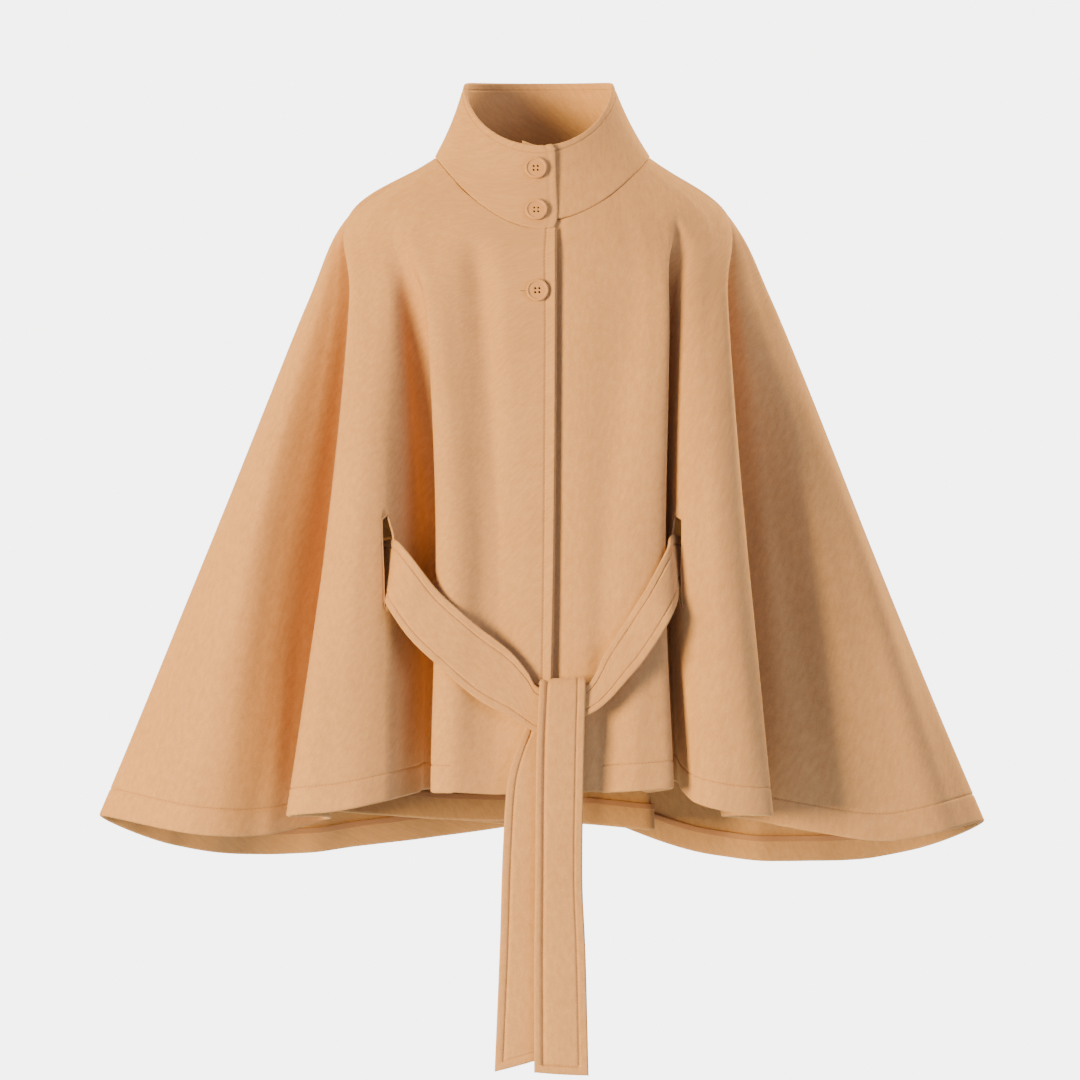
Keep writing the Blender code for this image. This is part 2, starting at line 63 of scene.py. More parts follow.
SoftLight = namedtuple("SoftLight", "name x y z width height power tint")
LIGHTS = (
    SoftLight("key", -3.2, -3.2, -0.18, 1.3, 1.8, 650, WARM),
    SoftLight("fill", 3.0, -3.4, 0.1, 1.8, 2.0, 60, SOFT),
    SoftLight("top", 1.0, 0, 3.0, 1.2, 1.2, 80, WARM),
    SoftLight("back_left", -2.4, 2.6, 1.6, 1.6, 1.6, 230, WARM),
    SoftLight("back_right", 2.6, 2.0, 1.8, 1.6, 1.6, 420, WARM),
)


class Link:
    """A shader socket that sums and multiplies as a number does, adding its Math nodes."""

    def __init__(self, tree, socket=None):
        self.tree = tree
        self.socket = socket

    def node(self, kind, settings, inputs, output=0):
        """A node of a kind: its settings first, then its sockets."""
        made = self.tree.nodes.new(kind)
        for name, value in settings.items():
            setattr(made, name, value)
        for key, value in inputs.items():
            if isinstance(value, Link):
                self.tree.links.new(value.socket, made.inputs[key])
            else:
                made.inputs[key].default_value = value
        return Link(self.tree, made.outputs[output]) if made.outputs else None

    def math(self, operation, first, second):
        return self.node("ShaderNodeMath", {"operation": operation}, {0: first, 1: second})

    def blend(self, factor, first, second):
        """A colour that goes from the first to the second by a factor."""
        return self.node(
            "ShaderNodeMix", {"data_type": "RGBA"}, {"Factor": factor, 6: first, 7: second}, 2)

    def __add__(self, other):
        return self.math("ADD", self, other)

    def __sub__(self, other):
        return self.math("SUBTRACT", self, other)

    def __mul__(self, other):
        return self.math("MULTIPLY", self, other)

    def __rsub__(self, other):
        return self.math("SUBTRACT", other, self)

    __radd__ = __add__
    __rmul__ = __mul__


def empty_tree(owner):
    """The cleared node tree of a material or the world, as a Link to build from."""
    owner.use_nodes = True
    owner.node_tree.nodes.clear()
    return Link(owner.node_tree)


def new_material(name):
    """A material with the Link to build it from."""
    material = bpy.data.materials.new(name)
    return material, empty_tree(material)


def toned(colour, share):
    """The colour times a share, one for all or one for each of red, green and blue."""
    return (*np.multiply(colour, share).tolist(), 1)


camera_lens = bpy.data.cameras.new("camera")
camera_lens.sensor_width = SENSOR
camera_lens.lens = SENSOR * VIEW_DISTANCE / VIEW_WIDTH
camera = bpy.data.objects.new("camera", camera_lens)
camera.location = (0, -VIEW_DISTANCE, VIEW_HEIGHT)
camera.rotation_euler = (math.pi / 2, 0, 0)
bpy.context.scene.collection.objects.link(camera)
bpy.context.scene.camera = camera

for light in LIGHTS:
    lamp = bpy.data.lights.new(light.name, "AREA")
    lamp.shape = "RECTANGLE"
    lamp.size = light.width
    lamp.size_y = light.height
    lamp.energy = light.power
    lamp.color = light.tint
    lamp_object = bpy.data.objects.new(light.name, lamp)
    lamp_object.location = (light.x, light.y, light.z)
    aim = np.array([0, 0, VIEW_HEIGHT]) - np.array([light.x, light.y, light.z])
    lamp_object.rotation_euler = (
        math.acos(-aim[2] / np.linalg.norm(aim)), 0, math.atan2(aim[1], aim[0]) - math.pi / 2)
    bpy.context.scene.collection.objects.link(lamp_object)

world = bpy.data.worlds.new("studio")
bpy.context.scene.world = world
start = empty_tree(world)
seen = start.node("ShaderNodeLightPath", {}, {}, "Is Camera Ray")
around = start.node(
    "ShaderNodeBackground", {}, {"Color": (*COOL, 1), "Strength": AMBIENT})
backdrop = start.node(
    "ShaderNodeBackground", {}, {"Color": BACKDROP, "Strength": BACKDROP_GLOW})
both = start.node("ShaderNodeMixShader", {}, {0: seen, 1: around, 2: backdrop})
start.node("ShaderNodeOutputWorld", {}, {"Surface": both})

bpy.ops.mesh.primitive_circle_add(
    vertices=96, radius=FLOOR_RADIUS, fill_type="NGON", location=(0, 0, FLOOR_Z))
floor = bpy.context.object
floor.name = "floor"
floor_finish, start = new_material("floor")
place = start.node("ShaderNodeTexCoord", {}, {}, "Object")
radius = start.node("ShaderNodeVectorMath", {"operation": "LENGTH"}, {0: place}, "Value")
fade = start.node(
    "ShaderNodeMapRange", {"interpolation_type": "SMOOTHSTEP"}, {"Value": radius, **FLOOR_FADE})
matt = start.node(
    "ShaderNodeBsdfPrincipled", {}, {"Base Color": FLOOR_TINT, "Roughness": 0.8})
glow = start.node(
    "ShaderNodeEmission", {}, {"Color": BACKDROP, "Strength": BACKDROP_GLOW * FLOOR_GLOW[1]})
seen = start.node("ShaderNodeLightPath", {}, {}, "Is Camera Ray")
pale = start.node("ShaderNodeMixShader", {}, {0: seen * FLOOR_GLOW[0], 1: matt, 2: glow})
clear = start.node("ShaderNodeBsdfTransparent", {}, {})
faded = start.node("ShaderNodeMixShader", {}, {0: fade, 1: pale, 2: clear})
start.node("ShaderNodeOutputMaterial", {}, {"Surface": faded})
floor.data.materials.append(floor_finish)


# The cape: right front, left front and back, cut from felted camel wool and sewn at the sides.
# One path of cloth starts under the placket, goes round over the left shoulder, the back and
# the right shoulder, and laps over its own start. Fold lines run down it from neck to hem.
CAMEL = (0.5, 0.305, 0.175)
WALL = 2.2 * MM
LAP = 5.6 * MM                   # the path moves out by this in a full turn
SEAM_GAP = 0.3 * MM
NECK = {"half_width": 106.5, "half_depth": 85, "x": 4, "y": -15, "drop": 75, "rise": 12}
LEFT_NECK_LIFT = 9               # mm, at the centre front, dying away at the shoulder
SHOULDER = {"half_width": 190, "half_depth": 112, "front_z": -102, "side_rise": 44}
CHEST_Z = -140                   # mm, as in all of these
WAIST_Z = -400

# Fold lines, in columns: neck and shoulder in degrees round the figure, with 0 centre front, 90
# the wearer's left and 180 centre back, then in mm chest x, waist x, hem x, chest y, waist y,
# hem y and hem z.
CAPE = {
    "left_under_edge": (-10, -6, -19, -19, -19, -122, -152, -168, -627),
    "left_under_lap": (8, 4.5, 15, 15, 15, -122, -152, -168, -626),
    "left_centre": (20, 13, 46, 44, 44, -123, -155, -170, -625),
    "left_trough": (34, 23, 82, 64, 62, -119, -153, -165, -625),
    "left_panel_ridge": (46, 33, 110, 100, 98, -119, -157, -171, -623),
    "left_panel_edge": (54, 40, 127, 123, 130, -116, -147, -162, -621),
    "left_panel_return": (59, 45, 122, 115, 108, -101, -112, -126, -626),
    "left_valley": (63, 49, 131, 127, 133, -94, -98, -104, -616),
    "left_slit": (67, 54, 145, 139, 152, -103, -138, -150, -635),
    "left_flute_ridge": (72, 62, 166, 175, 188, -99, -153, -162, -644),
    "left_flute_edge": (79, 80, 185, 203, 229, -86, -136, -148, -648),
    "left_flute_return": (82.5, 84, 180, 194, 198, -50, -60, -60, -653),
    "left_wing_valley": (85, 86, 201, 237, 272, -38, -50, -57, -668),
    "left_wing": (87.5, 88, 218, 290, 347, -21, -56, -62, -677),
    "left_side": (90, 90, 232, 336, 444, 0, 0, 0, -661),
    "back_left_wing": (100, 104, 213, 300, 385, 42, 60, 74, -691),
    "back_left_flute": (122, 128, 174, 236, 276, 90, 126, 150, -708),
    "back_left_inner": (142, 148, 122, 152, 164, 111, 146, 166, -700),
    "back_left_fold": (152, 154, 86, 84, 74, 118, 147, 153, -668),
    "back_left_fold_in": (155, 157, 82, 86, 81, 116, 132, 130, -666),
    "back_left_return": (158, 160, 79, 98, 106, 114, 116, 85, -672),
    "back_left_edge": (161, 163, 75, 100, 111, 112, 106, 72, -673),
    "back_left_centre": (166, 169, 48, 60, 64, 113, 101, 66, -668),
    "back_centre": (180, 180, 0, 0, 0, 114, 104, 70, -665),
    "back_right_centre": (194, 191, -48, -72, -110, 113, 101, 66, -661),
    "back_right_edge": (199, 197, -76, -118, -214, 112, 104, 70, -653),
    "back_right_return": (202, 200, -79, -116, -208, 114, 116, 84, -654),
    "back_right_fold_in": (205, 203, -82, -77, -38, 116, 131, 131, -669),
    "back_right_fold": (208, 206, -86, -74, -30, 118, 147, 154, -672),
    "back_right_inner": (218, 212, -122, -152, -164, 111, 148, 166, -691),
    "back_right_flute": (238, 232, -174, -236, -276, 90, 126, 150, -701),
    "back_right_wing": (260, 256, -213, -300, -376, 42, 60, 72, -686),
    "right_side": (270, 270, -229, -333, -438, 0, 0, 0, -655),
    "right_wing": (272.5, 272, -218, -290, -338, -26, -64, -70, -670),
    "right_wing_valley": (275, 274, -203, -244, -274, -24, -44, -48, -672),
    "right_flute_return": (277.5, 276, -180, -206, -212, -14, -10, -8, -658),
    "right_flute_edge": (281, 280, -184, -207, -244, -86, -134, -148, -648),
    "right_flute_ridge": (288, 298, -164, -180, -196, -98, -152, -162, -643),
    "right_slit": (293, 306, -148, -150, -150, -101, -143, -152, -634),
    "right_valley": (297, 311, -127, -100, -102, -95, -84, -92, -624),
    "right_panel_return": (301, 315, -117, -84, -84, -99, -104, -112, -621),
    "right_panel_edge": (306, 320, -110, -99, -103, -117, -146, -162, -625),
    "right_panel_ridge": (314, 327, -98, -84, -88, -120, -156, -170, -625),
    "right_trough": (327, 337, -78, -56, -64, -119, -152, -170, -626),
    "right_centre": (340, 347, -44, -38, -42, -123, -155, -170, -627),
    "right_lap": (350, 354, -19, -19, -19, -122, -152, -168, -627),
    "placket_edge": (366, 364.5, 15, 13, 8, -122, -152, -168, -627),
}
LINE = {name: place for place, name in enumerate(CAPE)}

COLUMN_PITCH = 5 * MM            # about this far apart, at the widest
COLUMNS_PER_SPAN = (6, 16)       # fewest and most between fold lines
SLIT_SLANT = 4.5 * MM            # the rear lip starts this far below the front one
STITCH_BAND = 26 * MM            # hem topstitch, above the hem's fold
PLACKET_STITCH = 0.72            # share of the last span, from lap to placket edge
GROOVE = (-3.4, -2.2, -1.3, -0.6, 0, 0.6, 1.3, 2.2, 3.4)  # mm, mesh lines across a seam
GROOVE_WIDTH = 1.0 * MM
GROOVE_DEPTH = 0.9 * MM
RIM_STEPS = 3
EDGE_PULL = 7 * MM               # reach of an edge drawn in for its rounded rim
SLIT_ROWS = (2.835, 3.19)        # the hand slit's ends, in stations down a fold line
BODY_ROWS = ((0, 0.06, 4), (0.06, 1, 20), (1, 2, 16), (2, SLIT_ROWS[0], 24), (*SLIT_ROWS, 23))
BELOW_SLIT_ROWS = 28
BAND_ROWS = (14, 8)              # mm, mesh rows above the hem's stitching
HEM_ROWS = (19, 14, 9.5, 6, 3.6, 2, 1, 0.4, 0)  # mm, mesh rows above the hem's fold
PLACKET_RIM = (1.2, 3)           # mm, mesh columns inside the placket edge

# Soft creases in the cloth between the folds. Each runs from beside one fold line to beside
# another, its rows are stations down them, and a negative depth is a ridge.
Crease = namedtuple(
    "Crease", "top_line top_beside top_row foot_line foot_beside foot_row width depth")
CREASES = (
    # right front
    Crease("right_trough", 0.35, 0.6, "right_centre", 0.15, 4.6, 24, 11),
    Crease("right_valley", 0.4, 1.5, "right_valley", 0.35, 5, 25, 18),
    Crease("placket_edge", 0, -1.5, "placket_edge", 0, 7, 7, -2),
    # left front
    Crease("left_under_lap", 0.05, -1.5, "left_under_lap", -0.1, 7, 9, 3),
    Crease("left_panel_edge", 1.4, 0.75, "left_panel_edge", 1.2, 2.3, 10, 6),
    Crease("left_panel_edge", 1.3, 1.2, "left_panel_edge", 1.4, 5, 10, 19),
    Crease("left_flute_edge", 1.15, 0.98, "left_flute_edge", 1.15, 5, 28, 17),
    Crease("left_side", -0.55, 2.2, "left_side", -0.55, 5, 36, -10),
    # back
    Crease("back_left_wing", 0.45, 1.1, "back_left_wing", 0.5, 4.5, 34, 15),
    Crease("back_left_flute", 0.5, 1.3, "back_left_flute", 0.4, 4.5, 22, 9),
    Crease("back_left_centre", 0.5, 1.5, "back_left_centre", 0.3, 4.8, 18, 7),
    Crease("back_centre", 0.5, 1.1, "back_centre", 0.6, 4.4, 14, -5),
    Crease("back_right_inner", 0.5, 1.2, "back_right_inner", 0.6, 4.5, 24, 11),
    Crease("back_right_flute", 0.6, 1.4, "back_right_flute", 0.5, 4.5, 32, 13),
)
CREASE_FADE = 0.3                # share of its length in which a crease fades, at either end
CREASE_TOP_WIDTH = 0.5           # share of its width at the foot


def unit(vectors):
    """Vectors of length one."""
    return vectors / np.linalg.norm(vectors, axis=-1, keepdims=True)


def smooth_through(points, places):
    """Centripetal Catmull-Rom curves through points[n, m, 3], read at places[p] or [p, m]."""
    count, curves = points.shape[:2]
    padded = np.concatenate([2 * points[:1] - points[1:2], points,
                             2 * points[-1:] - points[-2:-1]])
    chords = np.linalg.norm(np.diff(padded, axis=0), axis=-1) ** 0.5
    knots = np.concatenate([np.zeros((1, curves)), np.cumsum(chords, axis=0)])
    places = np.broadcast_to(np.reshape(places, (len(places), -1)), (len(places), curves))
    index = np.clip(places.astype(int), 0, count - 2)
    curve = np.arange(curves)
    p = [padded[index + j, curve] for j in range(4)]
    k = [knots[index + j, curve][..., None] for j in range(4)]
    t = k[1] + (places - index)[..., None] * (k[2] - k[1])
    a = [p[j] + (p[j + 1] - p[j]) * (t - k[j]) / (k[j + 1] - k[j]) for j in range(3)]
    b = [a[j] + (a[j + 1] - a[j]) * (t - k[j]) / (k[j + 2] - k[j]) for j in range(2)]
    return b[0] + (b[1] - b[0]) * (t - k[1]) / (k[2] - k[1])


def smooth_step(x):
    """0 up to 0, 1 from 1, and a soft S between."""
    x = np.clip(x, 0, 1)
    return x * x * (3 - 2 * x)


def neck_ring(turns):
    """The neck seam: an oval that dips at the front by the cosine squared, in millimetres."""
    angle = np.radians(turns)
    dip = np.where(np.cos(angle) < 0, NECK["rise"], -NECK["drop"])
    lift = LEFT_NECK_LIFT * (1 - smooth_step(np.asarray(turns) / 75))
    return np.stack([
        NECK["x"] + NECK["half_width"] * np.sin(angle),
        NECK["y"] - NECK["half_depth"] * np.cos(angle),
        dip * np.cos(angle) ** 2 + lift], axis=-1)


def lap_offset(turns):
    """The slow spiral: outwards by one lap in a full turn, nothing at the centre back."""
    angle = np.radians(turns)
    out = LAP * (np.asarray(turns) - 180) / 360
    return np.stack([out * np.sin(angle), -out * np.cos(angle), 0 * out], axis=-1)


def cape_grid():
    """Points of the whole path of cloth, rows by columns, with the places of its columns.

    Down each fold line a smooth curve passes the neck seam, the shoulder ring and the chest,
    waist and hem stations; across, a smooth curve passes the fold lines at each row.
    """
    table = np.array(list(CAPE.values()), float)
    neck, shoulder, chest_x, waist_x, hem_x, chest_y, waist_y, hem_y, hem_z = table.T
    angle = np.radians(shoulder)
    ring = np.stack([
        SHOULDER["half_width"] * np.sin(angle),
        -SHOULDER["half_depth"] * np.cos(angle),
        SHOULDER["front_z"] + SHOULDER["side_rise"] * np.abs(np.sin(angle))], axis=-1)
    level = np.ones(len(table))
    stations = np.stack([
        neck_ring(neck), ring,
        np.stack([chest_x, chest_y, CHEST_Z * level], axis=-1),
        np.stack([waist_x, waist_y, WAIST_Z * level], axis=-1),
        np.stack([hem_x, hem_y, hem_z], axis=-1)]) * MM + lap_offset(neck)
    drop = (WAIST_Z - hem_z) * MM
    band = STITCH_BAND / MM
    above = band + np.array([*BAND_ROWS, *(-np.array(GROOVE))])
    hem = 4 - np.concatenate([above, HEM_ROWS])[:, None] * MM / drop
    upper = np.concatenate([np.linspace(*part)[:-1] for part in BODY_ROWS])
    share = np.linspace(0, 1, BELOW_SLIT_ROWS)[:-1, None]
    rows = np.concatenate([
        np.broadcast_to(upper[:, None], (len(upper), len(table))),
        SLIT_ROWS[1] + (hem[0] - SLIT_ROWS[1]) * share, hem])
    down = smooth_through(stations, rows)
    span = np.linalg.norm(np.diff(down, axis=1), axis=-1).max(axis=0)
    steps = np.clip(np.ceil(span / COLUMN_PITCH), *COLUMNS_PER_SPAN).astype(int)
    across = [line + np.arange(count) / count for line, count in enumerate(steps)]
    lap = LINE["right_lap"]
    groove = lap + PLACKET_STITCH + np.array(GROOVE) * MM / span[lap]
    rim = lap + 1 - np.array(PLACKET_RIM) * MM / span[lap]
    across = np.unique(np.concatenate([*across, groove, rim, [len(table) - 1]]))
    grid = smooth_through(down.transpose(1, 0, 2), across).transpose(1, 0, 2)
    return grid, rows, across


def outward_of(grid):
    """Directions square to a grid whose rows run down and columns run to the left."""
    return unit(np.cross(np.gradient(grid, axis=0), np.gradient(grid, axis=1)))


def lengths_across(grid):
    """How far each point lies from the first column, along its row."""
    steps = np.linalg.norm(np.diff(grid, axis=1), axis=-1)
    return np.concatenate([np.zeros((len(grid), 1)), np.cumsum(steps, axis=1)], axis=1)


def lengths_down(grid):
    """How far each point lies from the first row, along its column."""
    return lengths_across(grid.transpose(1, 0, 2)).T


# Long shallow waves of soft cloth, running down it: how far apart at the hem, how far down they
# take to turn once, where they start and how deep they are
Wave = namedtuple("Wave", "across down start depth")
WAVES = (Wave(83, 900, 0.4, 0.7), Wave(47, -640, 2.1, 0.4), Wave(29, 520, 4.4, 0.2),
         Wave(131, -410, 1.3, 0.7))
WAVES_DIE = 70 * MM              # away from the overlapping edges


def creased(grid, rows, across):
    """The grid with every crease: a bell-shaped trough or ridge that fades at both ends.

    Sine waves add the cloth's own unevenness, less where the cloth is drawn together.
    """
    outward = outward_of(grid)
    along = lengths_across(grid)
    station = np.array([np.interp(across, np.arange(rows.shape[1]), row) for row in rows])
    depth = np.zeros(grid.shape[:2])
    for crease in CREASES:
        run = (station - crease.top_row) / (crease.foot_row - crease.top_row)
        fallen = np.clip(run, 0, 1)
        top = LINE[crease.top_line] + crease.top_beside
        foot = LINE[crease.foot_line] + crease.foot_beside
        line = (top + (foot - top) * fallen).mean(axis=1)
        right = np.clip(np.searchsorted(across, line), 1, len(across) - 1)
        share = (line - across[right - 1]) / (across[right] - across[right - 1])
        each = np.arange(len(grid))
        middle = along[each, right - 1] * (1 - share) + along[each, right] * share
        width = crease.width * MM * (CREASE_TOP_WIDTH + (1 - CREASE_TOP_WIDTH) * fallen)
        bell = np.exp(-((along - middle[:, None]) / width) ** 2)
        fade = smooth_step(run / CREASE_FADE) * smooth_step((1 - run) / CREASE_FADE)
        depth += crease.depth * MM * bell * fade
    fall = lengths_down(grid)
    hem = along[-1:]
    spread = np.gradient(along, axis=1) / np.gradient(hem, axis=1)
    calm = smooth_step(np.minimum(along, along[:, -1:] - along) / WAVES_DIE - 0.5) \
        * np.clip(spread, 0, 1) ** 2
    for wave in WAVES:
        phase = hem / (wave.across * MM) + fall / (wave.down * MM)
        depth += wave.depth * MM * np.sin(2 * np.pi * phase + wave.start) * calm
    return grid - outward * depth[..., None]


def pad_rim(values):
    """An array of rows by columns repeated past its borders, for the rounded rim."""
    border = (RIM_STEPS, RIM_STEPS)
    return np.pad(values, (border, border) + ((0, 0),) * (values.ndim - 2), "edge")


def rim_turn(count):
    """Angles of the half-round rim along one side: 0 at its tip and a quarter turn inside."""
    ramp = np.linspace(0, math.pi / 2, RIM_STEPS + 1)
    return np.concatenate([ramp[:-1], np.full(count, math.pi / 2), ramp[-2::-1]])


def drawn_in(middle, amounts):
    """The grid with its four borders drawn in, so that a rounded rim ends where they were.

    The amounts are for the top, bottom, left and right borders. The pull dies away as a bell.
    """
    top, bottom, left, right = amounts
    down = unit(np.gradient(middle, axis=0))
    side = unit(np.gradient(middle, axis=1))
    across, fall = lengths_across(middle), lengths_down(middle)

    def near(distance):
        return np.exp(-(distance / EDGE_PULL) ** 2)[..., None]

    return (middle
            + down * (top * near(fall) - bottom * near(fall[-1] - fall))
            + side * (left * near(across) - right * near(across[:, -1:] - across)))


def shell_faces(keep, outer, inner):
    """Four-cornered faces over the kept cells of two sheets, and the rims of the holes."""
    def cells(sheet, chosen):
        a, b, d, e = sheet[:-1, :-1], sheet[:-1, 1:], sheet[1:, :-1], sheet[1:, 1:]
        return [corner[chosen] for corner in (a, d, e, b)]

    faces = [np.stack(cells(outer, keep), axis=-1),
             np.stack(cells(inner, keep)[::-1], axis=-1)]
    for kept, top, under, turned in ((keep, outer, inner, True),
                                     (keep.T, outer.T, inner.T, False)):
        rim = [top[1:-1, :-1], top[1:-1, 1:], under[1:-1, 1:], under[1:-1, :-1]]
        for chosen, back in ((kept[:-1] & ~kept[1:], turned), (kept[1:] & ~kept[:-1], not turned)):
            faces.append(np.stack([corner[chosen] for corner in rim[::-1 if back else 1]], axis=-1))
    return np.concatenate(faces)


def add_mesh(name, points, faces, flat, material):
    """A smooth piece from arrays, its flat cloth coordinates in the UV map."""
    used, faces = np.unique(faces, return_inverse=True)
    faces = faces.reshape(-1, 4)
    mesh = bpy.data.meshes.new(name)
    mesh.vertices.add(len(used))
    mesh.vertices.foreach_set("co", points[used].astype(np.float32).ravel())
    mesh.loops.add(faces.size)
    mesh.loops.foreach_set("vertex_index", faces.astype(np.int32).ravel())
    mesh.polygons.add(len(faces))
    mesh.polygons.foreach_set("loop_start", np.arange(0, faces.size, 4, dtype=np.int32))
    mesh.uv_layers.new(name="flat")
    mesh.uv_layers["flat"].uv.foreach_set(
        "vector", flat[used][faces].astype(np.float32).ravel())
    mesh.update(calc_edges=True)
    mesh.validate()
    mesh.shade_smooth()
    mesh.materials.append(material)
    made = bpy.data.objects.new(name, mesh)
    bpy.context.scene.collection.objects.link(made)
    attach(made, "root")
    return made


def cloth_wall(name, middle, outward, material, outer=WALL / 2, inner=WALL / 2, keep=None,
               close=(1, 1, 1, 1)):
    """A closed cloth wall about a grid, its four edges rounded as the cloth's thickness is.

    Outer and inner are how far the two faces lie from the grid. At an edge both sheets turn
    through a quarter circle towards each other and share their last points. Close is how far
    each edge is drawn in for that, in half thicknesses.
    """
    outer, inner = (np.broadcast_to(x, middle.shape[:2]) for x in (outer, inner))
    half = (outer + inner) / 2
    centre = middle + outward * ((outer - inner) / 2)[..., None]
    centre = drawn_in(centre, [half.mean() * share for share in close])
    down = pad_rim(unit(np.gradient(centre, axis=0)))
    side = pad_rim(unit(np.gradient(centre, axis=1)))
    fall, run = (rim_turn(count) for count in middle.shape[:2])
    rows, columns = len(fall), len(run)
    past_down = np.cos(fall) * np.where(np.arange(rows) < rows / 2, -1, 1)
    past_side = np.cos(run) * np.where(np.arange(columns) < columns / 2, -1, 1)
    lift = np.minimum(np.sin(fall)[:, None], np.sin(run))[..., None]
    thick = pad_rim(half)[..., None]
    body = (pad_rim(centre) + down * past_down[:, None, None] * thick
            + side * past_side[:, None] * thick)
    normal = pad_rim(outward)
    points = np.concatenate([
        (body + normal * thick * lift).reshape(-1, 3),
        (body - normal * thick * lift).reshape(-1, 3)])
    sheet = np.arange(rows * columns).reshape(rows, columns)
    under = sheet + rows * columns
    under[[0, -1]] = sheet[[0, -1]]
    under[:, [0, -1]] = sheet[:, [0, -1]]
    cells = np.ones((rows - 1, columns - 1), bool)
    if keep is not None:
        cells[RIM_STEPS:-RIM_STEPS, RIM_STEPS:-RIM_STEPS] = keep
    flat = np.stack([lengths_across(body), lengths_down(body)], axis=-1).reshape(-1, 2)
    return add_mesh(name, points, shell_faces(cells, sheet, under),
                    np.concatenate([flat, flat]), material)


def felted_wool(name, colour):
    """Brushed melton: short matted fibres with soft clumps, a paler nap and a broad sheen."""
    material, start = new_material(name)
    flat = start.node("ShaderNodeUVMap", {"uv_map": "flat"}, {})
    brushed = start.node("ShaderNodeMapping", {}, {"Vector": flat, "Scale": (1, 0.45, 1)})

    def speckle(scale, detail, vector):
        return start.node("ShaderNodeTexNoise", {}, {
            "Vector": vector, "Scale": scale, "Detail": detail, "Roughness": 0.6}, "Fac")

    fibres = speckle(950, 3, brushed)
    clumps = speckle(210, 3, brushed)
    drift = speckle(11, 2, flat)
    tone = (fibres - 0.5) * 1.1 + (clumps - 0.5) * 1.3 + (drift - 0.5) * 0.5 + 0.5
    shade = start.blend(tone, toned(colour, (0.83, 0.80, 0.76)), toned(colour, 1.14))
    relief = fibres * 0.6 + clumps * 0.7
    bump = start.node("ShaderNodeBump", {}, {
        "Strength": 0.7, "Distance": 0.3 * MM, "Height": relief})
    cloth = start.node("ShaderNodeBsdfPrincipled", {}, {
        "Base Color": shade, "Roughness": 0.92 - (fibres - 0.5) * 0.12, "Normal": bump,
        "Specular IOR Level": 0.18, "Sheen Weight": 0.5, "Sheen Roughness": 0.28,
        "Sheen Tint": (1, 0.8, 0.6, 1)})
    start.node("ShaderNodeOutputMaterial", {}, {"Surface": cloth})
    return material


def stitch_line(name, path, outward, pitch=3.4 * MM, length=2.5 * MM, radius=0.32 * MM):
    """Topstitching: short rounded threads laid end to end along a path, half sunk in the cloth.

    Each thread is a six-sided tube whose radius follows a half sine along its length.
    """
    steps = np.linalg.norm(np.diff(path, axis=0), axis=1)
    run = np.concatenate([[0], np.cumsum(steps)])
    middles = np.arange(pitch / 2, run[-1] - pitch / 2, pitch)
    around = np.radians(np.arange(6) * 60)
    along = np.array([-0.5, -0.36, -0.12, 0.12, 0.36, 0.5]) * length
    swell = np.array([0.25, 0.8, 1, 1, 0.8, 0.25]) * radius
    places = middles[:, None] + along

    def read(values):
        return np.stack([np.interp(places, run, values[:, i]) for i in range(3)], axis=-1)

    spine, up = read(path), unit(read(outward))
    forward = unit(np.gradient(spine, axis=1))
    side = unit(np.cross(forward, up))
    lift = np.sin(np.pi * (along / length + 0.5)) * radius * 0.7
    spine = spine + up * lift[:, None]
    ring = (side[:, :, None] * np.cos(around)[:, None]
            + up[:, :, None] * np.sin(around)[:, None] * 0.8)
    points = spine[:, :, None] + ring * swell[:, None, None]
    index = np.arange(points.size // 3).reshape(points.shape[:3])
    nxt = np.roll(index, -1, axis=2)
    faces = np.stack([index[:, :-1], nxt[:, :-1], nxt[:, 1:], index[:, 1:]], axis=-1)
    caps = np.concatenate([
        index[:, 0][:, [3, 2, 1, 0]], index[:, 0][:, [0, 5, 4, 3]],
        index[:, -1][:, [0, 1, 2, 3]], index[:, -1][:, [3, 4, 5, 0]]])
    faces = np.concatenate([faces.reshape(-1, 4), caps])
    flat = np.zeros((points.size // 3, 2))
    flat[:, 0] = np.broadcast_to(places[:, :, None], points.shape[:3]).ravel()
    add_mesh(name, points.reshape(-1, 3), faces, flat, thread)


wool = felted_wool("camel_wool", CAMEL)
thread = felted_wool("camel_thread", toned(CAMEL, 0.68)[:3])
bare_grid, cape_rows, cape_columns = cape_grid()
cape = creased(bare_grid, cape_rows, cape_columns)
hem_row = len(cape) - 1
band_row = hem_row - 9 - len(GROOVE) // 2
from_band = np.abs(lengths_down(cape) - lengths_down(cape)[band_row])


def column_at(line):
    """The mesh column of a fold line, or of a place between two."""
    return int(np.argmin(np.abs(cape_columns - line)))


placket_column = column_at(LINE["right_lap"] + PLACKET_STITCH)
facing_end = {"left": column_at(LINE["left_trough"]), "right": column_at(LINE["right_trough"] - 0.7)}
along_rows = lengths_across(cape)
from_placket = np.abs(along_rows - along_rows[:, placket_column:placket_column + 1])
sunk = GROOVE_DEPTH * np.exp(-(from_placket / GROOVE_WIDTH) ** 2)
hemmed = np.zeros(cape.shape[1], bool)
hemmed[facing_end["left"]:facing_end["right"]] = True
sunk = np.maximum(sunk, GROOVE_DEPTH * np.exp(-(from_band / GROOVE_WIDTH) ** 2) * hemmed)
cape_out = outward_of(cape)
doubled = np.zeros(cape.shape[:2])
doubled[band_row + 1:, hemmed] = WALL
cape_face = cape + cape_out * (WALL / 2 - sunk)[..., None]

PANELS = {
    "front_left": (0, LINE["left_side"], LINE["left_slit"]),
    "back": (LINE["left_side"], LINE["right_side"], None),
    "front_right": (LINE["right_side"], LINE["placket_edge"], LINE["right_slit"]),
}
FLAT = {                         # width, length and area of each cut, in metres
    "front_left": (0.80, 0.75, 0.35), "back": (1.58, 0.77, 0.66),
    "front_right": (0.84, 0.75, 0.36)}


